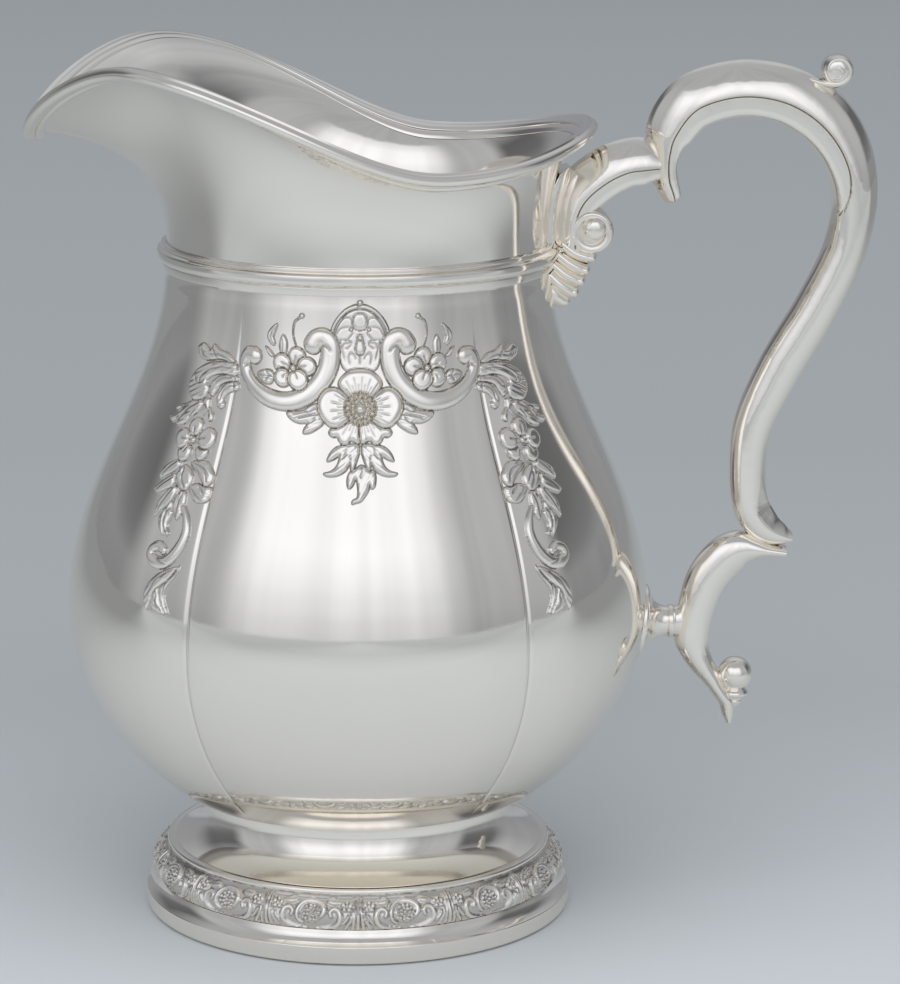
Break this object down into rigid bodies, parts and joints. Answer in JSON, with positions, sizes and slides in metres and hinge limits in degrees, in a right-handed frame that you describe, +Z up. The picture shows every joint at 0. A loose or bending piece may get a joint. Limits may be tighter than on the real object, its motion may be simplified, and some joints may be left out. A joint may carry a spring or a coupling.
{
  "type": "pitcher",
  "caption": "Bulbous polished silver water pitcher with a lobed bowl, flared neck and broad spout, hollow scroll handle on two mounts, flower-and-scroll relief and a flared foot.",
  "frame": {"origin": "on the table under the middle of the pitcher's overall box", "axes": "+Z up, +X from the spout towards the handle, +Y across, the face with the view in the picture towards -Y"},
  "size_m": [0.2232, 0.1536, 0.2295],
  "materials": {
    "polished_silver": "mirror polish",
    "chased_silver": "polished relief with dull recesses"
  },
  "bodies": {
    "root": {"base_ring": "polished_silver", "foot_border": "chased_silver", "foot_pedestal": "polished_silver", "bowl": "polished_silver", "neck": "polished_silver", "neck_band": "polished_silver", "rim_wire": "polished_silver", "upper_bracket": "polished_silver", "shell_leaf": "chased_silver", "thumb_scroll": "polished_silver", "lower_ferrule": "polished_silver", "lower_scroll": "polished_silver", "scroll_ball": "polished_silver", "grip_front_half": "polished_silver", "grip_back_half": "polished_silver", "front_volute_boss": "polished_silver", "back_volute_boss": "polished_silver", "front_cartouche": "chased_silver", "back_cartouche": "chased_silver", "front_spout_garland": "chased_silver", "back_spout_garland": "chased_silver", "front_handle_garland": "chased_silver", "back_handle_garland": "chased_silver"}
  },
  "joints": []
}
